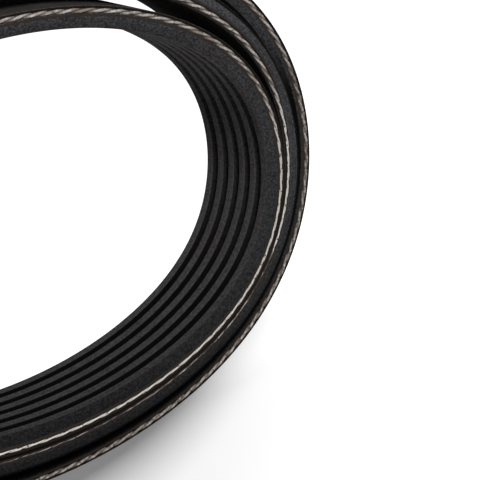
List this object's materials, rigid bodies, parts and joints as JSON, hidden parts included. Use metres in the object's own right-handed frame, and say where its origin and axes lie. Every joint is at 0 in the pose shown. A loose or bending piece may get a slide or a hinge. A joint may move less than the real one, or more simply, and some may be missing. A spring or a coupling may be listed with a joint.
{
  "type": "serpentine belt",
  "caption": "Wound multi-rib drive belt: V ribs on one side, a smooth back, and pale tensile cord showing along both cut edges.",
  "frame": {"origin": "on the plane that the lowest cut edge stands on, under the middle of the coil's box", "axes": "+Z along the coil's axis, up from the surface it stands on; +X along the oval's longer way, towards the end where three strands lie side by side"},
  "size_m": [0.1614, 0.107, 0.026],
  "materials": {
    "belt_rubber": "fine-grained moulded and ground rubber, matt on the ribs and cut edges, softer sheen on the back",
    "tensile_cord": "twisted polyester cord, pale beige, dusted with black rubber"
  },
  "bodies": {
    "root": {"ribbed_belt": "belt_rubber", "edge_cord_upper": "tensile_cord", "edge_cord_lower": "tensile_cord"}
  },
  "joints": []
}
